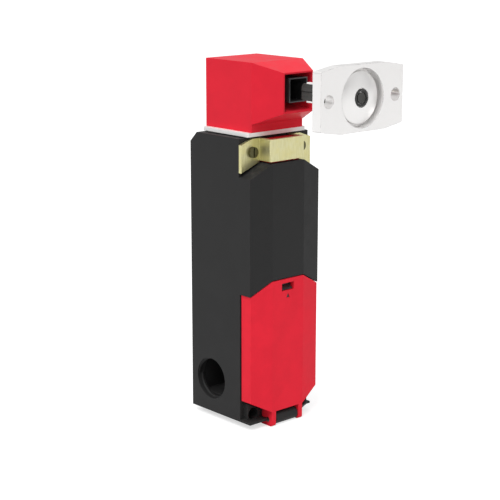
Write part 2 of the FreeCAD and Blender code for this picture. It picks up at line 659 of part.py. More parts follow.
def cam():
    hub = hub_face().extrude(V(HUB_W, 0, 0))
    centre = V(0, HEAD_Y, up(CAM_H))
    middle = LOBE_FIRST - LOBE_STEP / 2
    chord = [centre, around_cam(LOBE_FIRST, LOBE_R), around_cam(middle, LOBE_R),
             around_cam(LOBE_FIRST - LOBE_STEP, LOBE_R)]
    wedge = prism_x([(p.y, p.z) for p in chord], -LOBE_W / 2, LOBE_W / 2)
    web = wedge.common(rod(centre - V(LOBE_W / 2, 0, 0), centre + V(LOBE_W / 2, 0, 0), NOTCH_R))
    lobes = []
    for angle in (LOBE_FIRST, LOBE_FIRST - LOBE_STEP):
        arm = box(-LOBE_W / 2, LOBE_W / 2, -LOBE_T / 2, LOBE_T / 2, 0, LOBE_R)
        arm = round_edges(arm, LOBE_T * 0.3, lambda e: runs_along(e, V(1, 0, 0))
                          and e.CenterOfMass.z > LOBE_R / 2)
        arm.rotate(V(0, 0, 0), V(1, 0, 0), -angle)
        arm.translate(centre)
        lobes.append(arm)
    wheel = fuse(hub, web, *lobes)
    return wheel.cut(rod(centre - V(HUB_W, 0, 0), centre + V(HUB_W, 0, 0), AXLE_R + RUNNING))


LOBE_FIRST = -CAM_TURN   # the front lobe points forwards until the tongue comes


def cam_axle():
    return rod(V(-AXLE_HALF, HEAD_Y, up(CAM_H)), V(AXLE_HALF, HEAD_Y, up(CAM_H)), AXLE_R)


PLUNGER_TOP = CAM_H - HUB_HIGH - CLEAR - SLACK
LIFT = HUB_HIGH - HUB_LOW


def plunger():
    """Round pin between the cam and the contact carriage, with a rounded nose."""
    body = rod(V(0, HEAD_Y, up(CARRIAGE_HIGH)), V(0, HEAD_Y, up(PLUNGER_TOP)), PLUNGER_R)
    return round_edges(body, PLUNGER_R * 0.6, lambda e: e.CenterOfMass.z > up(PLUNGER_TOP) - SLACK)


# ---------------------------------------------------------------- contact block
POLE_X = [(i - (POLES - 1) / 2) * POLE_PITCH for i in range(POLES)]
ROW_H = [TERMINAL_H, TERMINAL_LOW]
CONTACT_FRONT = BLOCK_FRONT + CASE_WALL
CONTACT_BACK = BODY_D - BACK_WALL - CASE_WALL
BLOCK_HALF = POLE_PITCH * (POLES - 1) / 2 + BLOCK_EDGE
CARRIAGE_HALF = BLOCK_HALF - CASE_SIDE - CLEAR
CONTACT_GAP = LIFT + CLOSED_GAP
ARM_TIP = HEAD_AXIS_D - CARRIAGE_T / 2 - CLEAR
SEAT_R = CARRIAGE_T / 2 - SEAT_WALL
REAR_RUN_H = ROW_H[1] + TAB_H / 2 + SLACK
AUX_POLE = POLES - 1     # this pole opens when the tongue is home; the others close


def contact_case():
    case = box(-BLOCK_HALF, BLOCK_HALF, back(BLOCK_FRONT), CHAMBER_BACK, up(BLOCK_LOW),
               up(BLOCK_HIGH))
    ledge = box(-BLOCK_HALF, BLOCK_HALF, back(LEDGE_FRONT), back(BLOCK_FRONT), up(BLOCK_LOW),
                up(LEDGE_HIGH))
    case = fuse(case, ledge)
    floor = LEDGE_HIGH + CASE_FLOOR
    case = case.cut(box(-BLOCK_HALF + CASE_SIDE, BLOCK_HALF - CASE_SIDE, back(CONTACT_FRONT),
                        back(CONTACT_BACK), up(floor), up(BLOCK_HIGH)))
    tab = TAB_H / 2 + SLACK
    for x in POLE_X:
        for row in ROW_H:
            case = case.cut(box(x - POCKET_W / 2, x + POCKET_W / 2, back(LEDGE_FRONT),
                                back(CONTACT_FRONT), up(row - tab), up(row + tab)))
            case = case.cut(rod(V(x, back(CONTACT_FRONT), up(row)),
                                V(x, back(CONTACT_FRONT + TERM_SCREW_L + TIP_ROOM), up(row)),
                                TERM_SCREW_R))
        # slots that take the front and the rear strips
        half = TAB_W / 2 + SLACK
        case = case.cut(box(x - half, x + half, back(CONTACT_FRONT),
                            back(CONTACT_FRONT + STRIP_T), up(ROW_H[0] - tab), up(floor)))
        case = case.cut(box(x - half, x + half, back(CONTACT_FRONT),
                            back(CONTACT_FRONT + STRIP_T), up(ROW_H[1] - tab),
                            up(REAR_RUN_H + STRIP_T)))
        case = case.cut(box(x - half, x + half, back(CONTACT_FRONT), back(CONTACT_BACK),
                            up(REAR_RUN_H), up(REAR_RUN_H + STRIP_T)))
        case = case.cut(box(x - half, x + half, back(CONTACT_BACK - STRIP_T),
                            back(CONTACT_BACK), up(REAR_RUN_H), up(floor)))
    for x in (-BLOCK_SCREW_X, BLOCK_SCREW_X):
        case = case.cut(rod(V(x, back(LEDGE_FRONT), up(BLOCK_SCREW_H)),
                            V(x, CHAMBER_BACK, up(BLOCK_SCREW_H)), BLOCK_SCREW_R))
        case = case.cut(rod(V(x, back(LEDGE_FRONT), up(BLOCK_SCREW_H)),
                            V(x, back(BLOCK_FRONT), up(BLOCK_SCREW_H)), TERM_HEAD_R))
    return case.removeSplitter()


def block_screws():
    screws = []
    for x in (-BLOCK_SCREW_X, BLOCK_SCREW_X):
        seat = back(BLOCK_FRONT)
        head = rod(V(x, back(LEDGE_FRONT) + SLACK, up(BLOCK_SCREW_H)),
                   V(x, seat, up(BLOCK_SCREW_H)), TERM_HEAD_R - SLACK)
        shank = rod(V(x, seat, up(BLOCK_SCREW_H)), V(x, -BLOCK_SCREW_END, up(BLOCK_SCREW_H)),
                    BLOCK_SCREW_R)
        screws.append(fuse(head, shank))
    return screws


def arm_height(pole):
    """Underside of the fixed contact arms: over the bridge, or under it on the aux pole."""
    if pole == AUX_POLE:
        return BRIDGE_H - CLEAR / 2 - STRIP_T
    return BRIDGE_H + BRIDGE_T + CONTACT_GAP


def front_strips():
    strips = []
    for pole, x in enumerate(POLE_X):
        arm = arm_height(pole)
        tab = box(x - TAB_W / 2, x + TAB_W / 2, back(CONTACT_FRONT),
                  back(CONTACT_FRONT + STRIP_T), up(ROW_H[0] - TAB_H / 2),
                  up(ROW_H[0] + TAB_H / 2))
        riser = box(x - STRIP_W / 2, x + STRIP_W / 2, back(CONTACT_FRONT),
                    back(CONTACT_FRONT + STRIP_T), up(ROW_H[0]), up(arm + STRIP_T))
        reach = box(x - STRIP_W / 2, x + STRIP_W / 2, back(CONTACT_FRONT),
                    back(ARM_TIP), up(arm), up(arm + STRIP_T))
        strip = fuse(tab, riser, reach)
        strips.append(strip.cut(rod(V(x, back(CONTACT_FRONT), up(ROW_H[0])),
                                    V(x, back(CONTACT_FRONT + STRIP_T), up(ROW_H[0])),
                                    TERM_SCREW_R)))
    return strips


def rear_strips():
    strips = []
    for pole, x in enumerate(POLE_X):
        arm = arm_height(pole)
        tab = box(x - TAB_W / 2, x + TAB_W / 2, back(CONTACT_FRONT),
                  back(CONTACT_FRONT + STRIP_T), up(ROW_H[1] - TAB_H / 2),
                  up(REAR_RUN_H + STRIP_T))
        run = box(x - STRIP_W / 2, x + STRIP_W / 2, back(CONTACT_FRONT), back(CONTACT_BACK),
                  up(REAR_RUN_H), up(REAR_RUN_H + STRIP_T))
        riser = box(x - STRIP_W / 2, x + STRIP_W / 2, back(CONTACT_BACK - STRIP_T),
                    back(CONTACT_BACK), up(REAR_RUN_H), up(arm + STRIP_T))
        reach = box(x - STRIP_W / 2, x + STRIP_W / 2, back(CONTACT_BACK - ARM_L),
                    back(CONTACT_BACK), up(arm), up(arm + STRIP_T))
        strip = fuse(tab, run, riser, reach)
        strips.append(strip.cut(rod(V(x, back(CONTACT_FRONT), up(ROW_H[1])),
                                    V(x, back(CONTACT_FRONT + STRIP_T), up(ROW_H[1])),
                                    TERM_SCREW_R)))
    return strips


def terminal_screws():
    screws = []
    for x in POLE_X:
        for row in ROW_H:
            seat = back(CONTACT_FRONT - STRIP_T)
            top = seat - TERM_HEAD_T
            head = rod(V(x, top, up(row)), V(x, seat, up(row)), TERM_HEAD_R)
            head = head.cut(box(x - TERM_HEAD_R, x + TERM_HEAD_R, top, top + DRIVE_D,
                                up(row) - DRIVE_W / 2, up(row) + DRIVE_W / 2))
            shank = rod(V(x, seat, up(row)), V(x, back(CONTACT_FRONT + TERM_SCREW_L), up(row)),
                        TERM_SCREW_R)
            screws.append(fuse(head, shank))
    return screws


def clamp_plates():
    plates = []
    for x in POLE_X:
        for row in ROW_H:
            plate = box(x - CLAMP / 2, x + CLAMP / 2, back(CONTACT_FRONT - STRIP_T),
                        back(CONTACT_FRONT), up(row) - CLAMP / 2, up(row) + CLAMP / 2)
            plates.append(plate.cut(rod(V(x, back(CONTACT_FRONT - STRIP_T), up(row)),
                                        V(x, back(CONTACT_FRONT), up(row)), TERM_SCREW_R)))
    return plates


def carriage():
    y0 = HEAD_Y - CARRIAGE_T / 2
    y1 = HEAD_Y + CARRIAGE_T / 2
    slide = box(-CARRIAGE_HALF, CARRIAGE_HALF, y0, y1, up(CARRIAGE_LOW), up(CARRIAGE_HIGH))
    for x in POLE_X:
        slide = slide.cut(box(x - BRIDGE_W / 2, x + BRIDGE_W / 2, y0, y1, up(BRIDGE_H),
                              up(BRIDGE_H + BRIDGE_T)))
    seat = rod(V(0, HEAD_Y, up(CARRIAGE_LOW)), V(0, HEAD_Y, up(CARRIAGE_LOW + SEAT_DEPTH)),
               SEAT_R)
    return slide.cut(seat)


def bridges():
    y0 = back(CONTACT_FRONT + STRIP_T + 2 * CLEAR)
    y1 = back(CONTACT_BACK - STRIP_T - 2 * CLEAR)
    return [box(x - BRIDGE_W / 2, x + BRIDGE_W / 2, y0, y1, up(BRIDGE_H),
                up(BRIDGE_H + BRIDGE_T)) for x in POLE_X]


def helix_spring(foot, axis, height, radius, wire, turns, band):
    """Coil that stands on foot and runs along axis, wire thick and band wide."""
    rise = height - wire
    path = Part.makeHelix(rise / turns, rise, radius - band / 2)
    section = Part.makePolygon([V(radius - band, 0, 0), V(radius, 0, 0), V(radius, 0, wire),
                                V(radius - band, 0, wire), V(radius - band, 0, 0)])
    coil = Part.Wire(path).makePipeShell([section], True, True)
    coil.Placement = FreeCAD.Placement(foot, FreeCAD.Rotation(V(0, 0, 1), axis))
    return coil


def carriage_spring():
    foot = V(0, HEAD_Y, up(LEDGE_HIGH + CASE_FLOOR))
    height = CARRIAGE_LOW + SEAT_DEPTH - LEDGE_HIGH - CASE_FLOOR
    return helix_spring(foot, V(0, 0, 1), height, SEAT_R - SLACK, SPRING_WIRE, SPRING_TURNS,
                        SPRING_WIRE)


# ---------------------------------------------------------------- tongue and actuator plate
TONGUE_TIP = back(TIP)
PLATE_REAR = back(PLATE_BACK)
PLATE_FRONT = PLATE_REAR - PLATE_T
AXIS_Z = up(AXIS_H)


def tongue():
    half_w = TONGUE_W / 2
    half_h = TONGUE_H / 2
    rear = PLATE_REAR + TONGUE_GAP
    bevel = TIP_BEVEL
    side = [(rear, -half_h), (TONGUE_TIP - bevel, -half_h), (TONGUE_TIP, -half_h + bevel / 2),
            (TONGUE_TIP, half_h - bevel), (TONGUE_TIP - bevel, half_h), (rear, half_h)]
    blade = prism_x([(y, AXIS_Z + z) for y, z in side], -half_w, half_w)
    top = [(-half_w, rear), (-half_w, TONGUE_TIP - bevel / 2), (-half_w + bevel / 2, TONGUE_TIP),
           (half_w - bevel / 2, TONGUE_TIP), (half_w, TONGUE_TIP - bevel / 2), (half_w, rear)]
    blade = blade.common(prism_z(top, AXIS_Z - half_h, AXIS_Z + half_h))
    window_end = TONGUE_TIP - BAR - WINDOW_L
    blade = blade.cut(box(-WINDOW_W / 2, WINDOW_W / 2, window_end, TONGUE_TIP - BAR,
                          AXIS_Z - half_h, AXIS_Z + half_h))
    for seam in both_sides(box(half_w - SEAM, half_w, rear, TONGUE_TIP, AXIS_Z, AXIS_Z + SEAM)):
        blade = blade.cut(seam)
    head_low = PLATE_FRONT + DOME_CREST + CLEAR
    stem = rod(V(0, head_low, AXIS_Z), V(0, rear, AXIS_Z), STEM_R)
    cap = rod(V(0, head_low - SLACK, AXIS_Z), V(0, head_low + CLEAR, AXIS_Z), STEM_R + CLEAR)
    return fuse(blade, stem, cap)


def glide_pads():
    """Pale strips over and under the tongue that run on the guide."""
    y0 = PLATE_REAR + TONGUE_GAP
    y1 = TONGUE_TIP - PAD_START
    pads = []
    for low in (AXIS_Z + TONGUE_H / 2, AXIS_Z - TONGUE_H / 2 - PAD_T):
        pad = box(-TONGUE_W / 2, TONGUE_W / 2, y0, y1, low, low + PAD_T)
        pads.append(pad.cut(box(-WINDOW_W / 2, WINDOW_W / 2, TONGUE_TIP - BAR - WINDOW_L, y1,
                                low, low + PAD_T)))
    return pads


def swivel_dome():
    """Shallow dome in the plate's pocket that lets the tongue tilt."""
    crest = PLATE_FRONT + DOME_CREST
    rim = PLATE_FRONT + DOME_RIM
    sag = rim - crest
    ball = (DOME_R ** 2 + sag ** 2) / (2 * sag)
    disc = rod(V(0, crest, AXIS_Z), V(0, PLATE_FRONT + DOME_BACK, AXIS_Z), DOME_R)
    sphere = Part.makeSphere(ball, V(0, crest + ball, AXIS_Z))
    dome = disc.common(sphere)
    web = PLATE_FRONT + DOME_BACK - DOME_WEB
    dome = dome.cut(rod(V(0, crest, AXIS_Z), V(0, web, AXIS_Z), DOME_BORE))
    return dome.cut(rod(V(0, web, AXIS_Z), V(0, PLATE_FRONT + DOME_BACK, AXIS_Z),
                        STEM_R + RUNNING))


def flex_spring():
    foot = V(0, PLATE_FRONT + DOME_BACK - DOME_WEB - CLEAR, AXIS_Z)
    return helix_spring(foot, V(0, -1, 0), FLEX_H, DOME_BORE - CLEAR, FLEX_WIRE, FLEX_TURNS,
                        FLEX_BAND)


def actuator_plate():
    half = PLATE_W / 2
    flat = PLATE_FLAT / 2
    outline = [(-half, -PLATE_SIDE_H / 2), (-flat, -PLATE_H / 2), (flat, -PLATE_H / 2),
               (half, -PLATE_SIDE_H / 2), (half, PLATE_SIDE_H / 2), (flat, PLATE_H / 2),
               (-flat, PLATE_H / 2), (-half, PLATE_SIDE_H / 2)]
    plate = prism_y([(x, AXIS_Z + z) for x, z in outline], PLATE_FRONT, PLATE_REAR)
    plate = round_edges(plate, PLATE_ROUND, lambda e: runs_along(e, V(0, 1, 0)))
    plate = plate.cut(rod(V(0, PLATE_FRONT, AXIS_Z), V(0, PLATE_FRONT + POCKET_D, AXIS_Z),
                          POCKET_R))
    plate = plate.cut(rod(V(0, PLATE_FRONT, AXIS_Z), V(0, PLATE_REAR, AXIS_Z), THROAT_R))
    for x in (PLATE_HOLE_IN - PLATE_W / 2, PLATE_W / 2 - PLATE_HOLE_IN):
        plate = plate.cut(rod(V(x, PLATE_FRONT, AXIS_Z), V(x, PLATE_REAR, AXIS_Z),
                              PLATE_HOLE_R))
    return plate


# ---------------------------------------------------------------- all the pieces
node("housing", housing())
node("lid", lid())
node("lid_seal", lid_seal())
node("lid_latch", lid_latch())
node("lid_hinge_pin", lid_hinge_pin())
node("retaining_bracket", bracket())
node("bracket_screws", *ear_screws())
node("head_retainer", retainer())
node("head_shell", head_shell())
node("head_base", head_base())
node("head_screws", *head_screws())
node("entry_guide", entry_guide())
node("cam", cam())
node("cam_axle", cam_axle())
node("plunger", plunger())
node("contact_case", contact_case())
node("front_contacts", *front_strips())
node("rear_contacts", *rear_strips())
node("terminal_screws", *terminal_screws())
node("block_screws", *block_screws())
node("clamp_plates", *clamp_plates())
node("contact_carriage", carriage())
node("contact_bridges", *bridges())
node("carriage_spring", carriage_spring())
node("tongue", tongue())
node("glide_pads", *glide_pads())
node("swivel_dome", swivel_dome())
node("flex_spring", flex_spring())
node("actuator_plate", actuator_plate())

for name, shape in nodes.items():
    shape.exportStep(os.path.join("parts", name + ".step"))
    print(name, len(shape.Solids), "solids", round(shape.Volume, 2), "mm3", shape.isValid())
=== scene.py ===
import json
import math

import bmesh
import bpy
from bpy.props import FloatProperty, FloatVectorProperty, IntProperty, PointerProperty
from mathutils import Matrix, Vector


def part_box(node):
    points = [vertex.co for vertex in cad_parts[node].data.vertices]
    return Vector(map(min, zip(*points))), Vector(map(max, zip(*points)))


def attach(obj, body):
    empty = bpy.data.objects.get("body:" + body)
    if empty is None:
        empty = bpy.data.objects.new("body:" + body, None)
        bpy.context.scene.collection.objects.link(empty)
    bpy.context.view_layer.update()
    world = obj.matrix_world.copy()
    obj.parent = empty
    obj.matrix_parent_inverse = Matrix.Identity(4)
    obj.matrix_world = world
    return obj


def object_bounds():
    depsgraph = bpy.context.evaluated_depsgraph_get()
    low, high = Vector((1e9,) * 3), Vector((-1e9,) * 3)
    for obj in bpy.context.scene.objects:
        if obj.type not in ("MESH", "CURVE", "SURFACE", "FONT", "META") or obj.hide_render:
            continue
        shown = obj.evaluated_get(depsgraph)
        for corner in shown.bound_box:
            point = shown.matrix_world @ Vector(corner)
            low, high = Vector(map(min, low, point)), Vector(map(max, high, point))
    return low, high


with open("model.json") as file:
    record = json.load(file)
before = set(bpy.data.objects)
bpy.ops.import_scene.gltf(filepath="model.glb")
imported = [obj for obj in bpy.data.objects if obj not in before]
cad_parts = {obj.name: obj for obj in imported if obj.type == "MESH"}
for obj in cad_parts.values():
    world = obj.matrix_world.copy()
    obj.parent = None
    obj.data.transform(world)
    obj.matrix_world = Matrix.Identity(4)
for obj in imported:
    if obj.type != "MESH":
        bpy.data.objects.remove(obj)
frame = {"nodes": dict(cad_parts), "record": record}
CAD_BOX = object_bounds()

bl_info = {
    "name": "Tongue interlock switch",
    "version": (1, 0, 0),
    "blender": (4, 5, 0),
    "location": "View3D > Sidebar > Interlock",
    "description": "Gives the interlock switch its finishes, small moulded details and studio",
    "category": "Object",
}

MM = 0.001
NODES = frame["nodes"]
MOUNTS = {mount["name"]: mount for mount in frame["record"]["mounts"]}


# ---------------------------------------------------------------- settings
def colour_property(name, default, description):
    return FloatVectorProperty(name=name, subtype="COLOR", size=3, min=0.0, max=1.0,
                               default=default, description=description)


def length_property(name, default, description):
    return FloatProperty(name=name, unit="LENGTH", subtype="DISTANCE", min=0.0,
                         default=default, description=description)


class FinishSettings(bpy.types.PropertyGroup):
    """Colours and surface finish of the pieces."""
    body: colour_property("Body", (0.0258, 0.0258, 0.0260), "Black moulded housing")
    red: colour_property("Red", (0.80, 0.024, 0.045), "Red lid, head and retainer")
    zinc: colour_property("Zinc", (0.68, 0.635, 0.31), "Yellow passivated bracket and screws")
    white: colour_property("White", (0.885, 0.872, 0.862), "White actuator plate and head base")
    guide: colour_property("Guide", (0.022, 0.022, 0.023), "Black insert round the tongue's entry")
    tongue: colour_property("Tongue", (0.062, 0.061, 0.058), "Dark steel of the tongue")
    steel: colour_property("Steel", (0.60, 0.60, 0.59), "Bright steel of pins and screws")
    brass: colour_property("Brass", (0.72, 0.53, 0.26), "Contact strips")
    case: colour_property("Contact case", (0.60, 0.58, 0.52),
                          "Grey thermoset of the contact block")
    carriage: colour_property("Carriage", (0.06, 0.18, 0.42), "Blue moulded contact carriage")
    rubber: colour_property("Rubber", (0.018, 0.018, 0.018), "Lid seal")
    dust: colour_property("Dust", (0.62, 0.60, 0.56), "Fine dust on faces that look up")
    edge: length_property("Edge softness", 0.22 * MM,
                          "Radius that edges seem to have in the light")
    grain: length_property("Grain depth", 0.018 * MM, "Depth of the moulded texture")


class ThreadSettings(bpy.types.PropertyGroup):
    """Thread of the cable entry."""
    pitch: length_property("Pitch", 1.41 * MM, "Distance between neighbouring turns")
    depth: length_property("Depth", 0.45 * MM, "Height of the thread above the bore")
    steps: IntProperty(name="Steps", default=48, min=12, description="Corners in each turn")


class ShoulderSettings(bpy.types.PropertyGroup):
    """Shoulder of the housing under the bracket's ears."""
    inner: length_property("Inner end", 9.31 * MM, "From the middle to where the skin starts")
    outer: length_property("Outer end", 12.0 * MM, "From the middle to where it ends")
    fall: length_property("Fall", 1.42 * MM, "How far the shoulder falls between them")
    top: length_property("Top", 81.55 * MM, "Height of its upper end over the fixing holes")
    front: length_property("Front", 26.7 * MM, "From the mounting face to its front")
    root: length_property("Root", 23.7 * MM, "From the mounting face to the recess behind it")
    skin: length_property("Skin", 0.9 * MM, "Thickness of the skin")


class MarkSettings(bpy.types.PropertyGroup):
    """Triangle below the latch window."""
    width: length_property("Width", 1.5 * MM, "Width and height of the triangle")
    height: length_property("Height", 39.9 * MM, "Height of its tip over the fixing holes")
    depth: length_property("Depth", 0.3 * MM, "Depth of its recess in the lid")
    paint: length_property("Paint", 0.08 * MM, "Thickness of the paint")


class StageSettings(bpy.types.PropertyGroup):
    """Floor, light and camera."""
    floor: length_property("Floor side", 14.0, "Side of the square floor")
    low_sky: FloatProperty(name="Low sky", default=0.32, min=0.0,
                           description="Strength of the soft sky at the horizon")
    high_sky: FloatProperty(name="High sky", default=0.92, min=0.0,
                            description="Strength of the soft sky overhead")
    dusk: FloatProperty(name="Mirrored horizon", default=0.30, min=0.0, max=1.0,
                        description="Brightness of the horizon as glossy surfaces show it")
    key: FloatProperty(name="Key lamp", default=14.0, min=0.0, subtype="POWER",
                       description="Power of the large lamp to the left")
    fill: FloatProperty(name="Fill lamp", default=1.0, min=0.0, subtype="POWER",
                        description="Power of the large lamp to the right")
    tone: FloatProperty(name="Floor tone", default=0.58, min=0.0, max=1.0,
                        description="How pale the floor is to the light that falls on it")
    lift: FloatProperty(name="Floor lift", default=0.62, min=0.0,
                        description="Light that the floor shows the camera by itself")
    lens: FloatProperty(name="Lens", default=100.76, min=1.0, unit="CAMERA",
                        description="Focal length on a 36 mm sensor")


# ---------------------------------------------------------------- shader helpers
PLAIN_WHITE = (1.0, 1.0, 1.0, 1.0)

# Levels of the noise between which each effect comes in
CLOUD_LEVELS = (0.3, 0.7)
EDGE_TINT_LEVELS = (0.40, 0.62)
DUST_LEVELS = (0.42, 0.75)
STREAK_LEVELS = (0.35, 0.75)
SCRATCH_LEVELS = (0.25, 0.75)

# Cosines of the turn of the surface at which the edge tint is full, and at which it ends
EDGE_TURN = (0.80, 0.985)
# Upward part of the normal from which dust starts to settle, and at which it settles fully
DUST_SLOPE = (0.35, 1.0)

# Change of the roughness from the smoothest to the roughest places
MOULDED_SWING = (-0.04, 0.05)
METAL_SWING = (-0.07, 0.09)

# Edges of metal are this much sharper than those of the mouldings
METAL_EDGE = 0.7
SCRATCH_DEPTH = 0.006 * MM
SCRATCHES_PER_METRE = 3000.0
STREAK_STRENGTH = 0.35
STREAK_SHADE = 0.8
METAL_WEAR = 1.3


def add(tree, kind, **values):
    """A new node, with its properties and named or numbered inputs set."""
    made = tree.nodes.new(kind)
    for name, value in values.pop("inputs", {}).items():
        made.inputs[name].default_value = value
    for name, value in values.items():
        setattr(made, name, value)
    return made


def new_group(name, inputs, outputs):
    """An empty node group, its input node and its output node."""
    group = bpy.data.node_groups.new(name, "ShaderNodeTree")
    for label, default in inputs.items():
        socket = group.interface.new_socket(name=label, in_out="INPUT",
                                            socket_type="NodeSocketFloat")
        socket.default_value = default
    for label, kind in outputs.items():
        group.interface.new_socket(name=label, in_out="OUTPUT", socket_type=kind)
    return group, add(group, "NodeGroupInput"), add(group, "NodeGroupOutput")


def feed(tree, value, socket):
    """Links a socket to the input, or sets the input to a plain value."""
    if isinstance(value, bpy.types.NodeSocket):
        tree.links.new(value, socket)
    else:
        socket.default_value = value


def typed(sockets, kind, name=None):
    """The socket of one type, where a Mix node has the same name for several."""
    return next(item for item in sockets if item.type == kind and name in (None, item.name))


def math_node(tree, operation, first, second):
    """The result of one sum on two values, each a number or a socket."""
    made = add(tree, "ShaderNodeMath", operation=operation)
    feed(tree, first, made.inputs[0])
    feed(tree, second, made.inputs[1])
    return made.outputs[0]


def pick(tree, share, first, second):
    """The first value where share is zero, the second where it is one."""
    made = add(tree, "ShaderNodeMix", data_type="FLOAT")
    for name, value in (("Factor", share), ("A", first), ("B", second)):
        feed(tree, value, typed(made.inputs, "VALUE", name))
    return typed(made.outputs, "VALUE")


def stretched(tree, stretch):
    """Object coordinates, drawn out along one or more axes."""
    where = add(tree, "ShaderNodeTexCoord")
    mapping = add(tree, "ShaderNodeMapping")
    mapping.inputs["Scale"].default_value = stretch
    tree.links.new(where.outputs["Object"], mapping.inputs["Vector"])
    return mapping.outputs["Vector"]


def noise(tree, scale, detail, stretch=(1, 1, 1), rough=0.5):
    """Soft noise over the surface, its scale a number or a socket."""
    made = add(tree, "ShaderNodeTexNoise", inputs={"Detail": detail, "Roughness": rough})
    feed(tree, scale, made.inputs["Scale"])
    tree.links.new(stretched(tree, stretch), made.inputs["Vector"])
    return made.outputs["Fac"]


def spread(tree, value, low, high, out_low=0.0, out_high=1.0):
    """Maps value from low..high to out_low..out_high, smoothly and clamped."""
    made = add(tree, "ShaderNodeMapRange", interpolation_type="SMOOTHSTEP",
               inputs={"From Min": low, "From Max": high,
                       "To Min": out_low, "To Max": out_high})
    tree.links.new(value, made.inputs["Value"])
    return made.outputs["Result"]


def cloud_group():
    """Broad, soft unevenness of a moulded or plated surface."""
    group, entry, leave = new_group("broad_cloud", {"Scale": 90.0},
                                    {"Value": "NodeSocketFloat"})
    broad = noise(group, entry.outputs["Scale"], 4.0, rough=0.6)
    group.links.new(spread(group, broad, *CLOUD_LEVELS), leave.inputs["Value"])
    return group


def grain_group():
    """Fine pitted texture of a spark-eroded mould."""
    group, entry, leave = new_group("mould_grain", {"Scale": 2600.0},
                                    {"Height": "NodeSocketFloat"})
    fine = noise(group, entry.outputs["Scale"], 2.0)
    coarse = noise(group, math_node(group, "MULTIPLY", entry.outputs["Scale"], 0.4), 1.0)
    height = math_node(group, "ADD", math_node(group, "MULTIPLY", fine, 0.6),
                       math_node(group, "MULTIPLY", coarse, 0.4))
    group.links.new(height, leave.inputs["Height"])
    return group


def edge_group():
    """Normals rounded over the edges, and a broken mask along them."""
    group, entry, leave = new_group("soft_edge", {"Radius": 0.0002, "Scale": 500.0},
                                    {"Normal": "NodeSocketVector", "Mask": "NodeSocketFloat"})
    bevel = add(group, "ShaderNodeBevel", samples=6)
    group.links.new(entry.outputs["Radius"], bevel.inputs["Radius"])
    face = add(group, "ShaderNodeNewGeometry")
    dot = add(group, "ShaderNodeVectorMath", operation="DOT_PRODUCT")
    group.links.new(bevel.outputs["Normal"], dot.inputs[0])
    group.links.new(face.outputs["Normal"], dot.inputs[1])
    turned = spread(group, dot.outputs["Value"], *EDGE_TURN, 1.0, 0.0)
    broken = spread(group, noise(group, entry.outputs["Scale"], 4.0), *EDGE_TINT_LEVELS)
    group.links.new(math_node(group, "MULTIPLY", turned, broken), leave.inputs["Mask"])
    group.links.new(bevel.outputs["Normal"], leave.inputs["Normal"])
    return group


def dust_group():
    """Mask of fine dust that settles on faces that look up."""
    group, entry, leave = new_group("settled_dust", {"Scale": 260.0},
                                    {"Mask": "NodeSocketFloat"})
    face = add(group, "ShaderNodeNewGeometry")
    split = add(group, "ShaderNodeSeparateXYZ")
    group.links.new(face.outputs["Normal"], split.inputs[0])
    level = spread(group, split.outputs["Z"], *DUST_SLOPE)
    patches = noise(group, entry.outputs["Scale"], 5.0, rough=0.65)
    patchy = spread(group, patches, *DUST_LEVELS)
    group.links.new(math_node(group, "MULTIPLY", level, patchy), leave.inputs["Mask"])
    return group


GROUP_MAKERS = {"broad_cloud": cloud_group, "mould_grain": grain_group,
                "soft_edge": edge_group, "settled_dust": dust_group}


def shared(tree, name, **inputs):
    """A use of one shared group, made when it is first wanted."""
    group = bpy.data.node_groups.get(name) or GROUP_MAKERS[name]()
    made = add(tree, "ShaderNodeGroup", node_tree=group)
    for label, value in inputs.items():
        made.inputs[label].default_value = value
    return made


def blend_colour(tree, factor, first, second):
    """Mixes two colours, each a tuple or a socket."""
    made = add(tree, "ShaderNodeMix", data_type="RGBA")
    for name, value in (("A", first), ("B", second)):
        colour = value if isinstance(value, bpy.types.NodeSocket) else (*value, 1.0)
        feed(tree, colour, typed(made.inputs, "RGBA", name))
    tree.links.new(factor, made.inputs["Factor"])
    return typed(made.outputs, "RGBA")


def shade(colour, factor):
    """The colour made darker or paler by a factor."""
    return tuple(min(1.0, channel * factor) for channel in colour)


def start_material(name):
    """A new material, its node tree and its shader."""
    mat = bpy.data.materials.new(name)
    mat.use_nodes = True
    return mat, mat.node_tree, mat.node_tree.nodes["Principled BSDF"]


def finish_surface(tree, surface, height, depth, edge):
    """Feeds the bump, laid over the softened edges, to the shader."""
    bump = add(tree, "ShaderNodeBump", inputs={"Distance": depth, "Strength": 1.0})
    tree.links.new(height, bump.inputs["Height"])
    tree.links.new(edge.outputs["Normal"], bump.inputs["Normal"])
    tree.links.new(bump.outputs["Normal"], surface.inputs["Normal"])


def moulded(name, colour, settings, rough, uneven=0.10, grain=1.0, grain_scale=2600.0,
            edge_wear_and_shade=1.25, dust=0.10, specular=0.5, metallic=0.0):
    """Moulded plastic with texture, broad unevenness, tinted edges and a trace of dust."""
    mat, tree, surface = start_material(name)
    cloud = shared(tree, "broad_cloud", Scale=110.0)
    edge = shared(tree, "soft_edge", Radius=settings.edge, Scale=700.0)
    settled = shared(tree, "settled_dust")
    texture = shared(tree, "mould_grain", Scale=grain_scale)
    base = blend_colour(tree, cloud.outputs["Value"], shade(colour, 1 - uneven),
                        shade(colour, 1 + uneven))
    # Edges tinted by a factor: above one they are paler with wear, below one it is painted shade
    # along them.
    edge_tinted = blend_colour(tree, edge.outputs["Mask"], base, shade(colour, edge_wear_and_shade))
    dustiness = math_node(tree, "MULTIPLY", settled.outputs["Mask"], dust)
    dusty = blend_colour(tree, dustiness, edge_tinted, settings.dust)
    tree.links.new(dusty, surface.inputs["Base Color"])
    smoothest, roughest = (rough + swing for swing in MOULDED_SWING)
    rougher = spread(tree, cloud.outputs["Value"], 0.0, 1.0, smoothest, roughest)
    tree.links.new(rougher, surface.inputs["Roughness"])
    surface.inputs["Specular IOR Level"].default_value = specular
    surface.inputs["Metallic"].default_value = metallic
    finish_surface(tree, surface, texture.outputs["Height"], settings.grain * grain, edge)
    return mat


